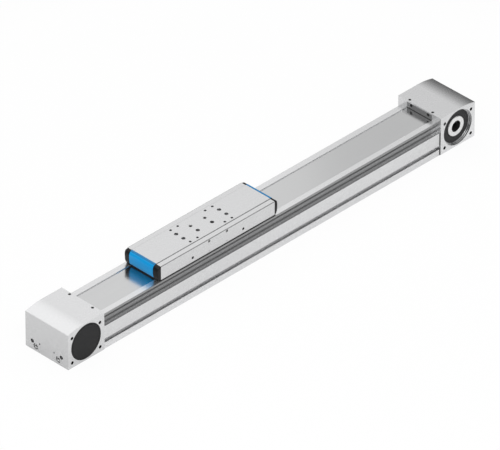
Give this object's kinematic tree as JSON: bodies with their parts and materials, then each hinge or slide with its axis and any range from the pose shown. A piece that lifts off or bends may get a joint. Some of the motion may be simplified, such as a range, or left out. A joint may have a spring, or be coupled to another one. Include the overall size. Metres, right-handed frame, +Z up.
{
  "type": "belt driven linear axis",
  "caption": "Linear axis with toothed belt drive: slotted profile, two heads with pulleys, steel cover strip and a slide with threaded top.",
  "frame": {"origin": "middle of the footprint on the mounting plane", "axes": "+X along the axis towards the drive head with the open hub recess, +Y away from the open recess's side, +Z up from the mounting face"},
  "size_m": [0.767, 0.08, 0.0725],
  "materials": {
    "anodised_aluminium": "satin anodised",
    "dark_aluminium": "dark anodised",
    "bright_steel": "turned, bright",
    "ground_steel": "ground",
    "stainless_strip": "mirror-like rolled strip",
    "bright_screw": "zinc plated",
    "black_screw": "black oxide",
    "black_plastic": "fine matt texture",
    "blue_plastic": "smooth moulded",
    "black_rubber": "matt",
    "black_belt": "matt polyurethane"
  },
  "bodies": {
    "base": {"profile": "anodised_aluminium", "guide_rail": "ground_steel", "rail_screws": "black_screw", "drive_head": "anodised_aluminium", "idler_head": "anodised_aluminium", "head_screws": "bright_screw", "locating_pins": "ground_steel", "pulley_bearings": "ground_steel", "shaft_seals": "black_rubber", "bearing_covers": "black_plastic", "belt": "black_belt", "cover_strip": "stainless_strip", "strip_clamps": "dark_aluminium", "strip_clamp_screws": "black_screw", "strip_set_screws": "black_screw"},
    "carriage": {"slide_table": "anodised_aluminium", "centring_sleeves": "bright_steel", "side_plugs": "bright_screw", "yoke": "anodised_aluminium", "yoke_screws": "black_screw", "runner_blocks": "ground_steel", "runner_end_seals": "black_plastic", "runner_screws": "black_screw", "belt_jaws": "dark_aluminium", "belt_jaw_screws": "black_screw", "end_caps": "black_plastic", "cap_inserts": "blue_plastic", "wipers": "black_rubber", "strip_pads": "black_plastic"},
    "drive_spindle": {"drive_pulley": "bright_steel", "drive_flanges": "bright_steel"},
    "idler_spindle": {"idler_pulley": "bright_steel", "idler_flanges": "bright_steel"}
  },
  "joints": [
    {"name": "carriage_slide", "type": "slide", "parent": "base", "child": "carriage", "axis": [1, 0, 0], "range_m": [-0.105, 0.295], "deforming": ["belt", "cover_strip"]},
    {"name": "drive_spin", "type": "hinge", "parent": "base", "child": "drive_spindle", "pos_m": [0.3505, 0, 0.0297], "axis": [0, 1, 0], "range_deg": [-380, 1064]},
    {"name": "idler_spin", "type": "hinge", "parent": "base", "child": "idler_spindle", "pos_m": [-0.3505, 0, 0.0297], "axis": [0, 1, 0], "range_deg": [-380, 1064]}
  ],
  "couplings": [
    {"joint": "drive_spin", "follows": "carriage_slide", "rad_per_m": 62.832},
    {"joint": "idler_spin", "follows": "carriage_slide", "rad_per_m": 62.832}
  ]
}
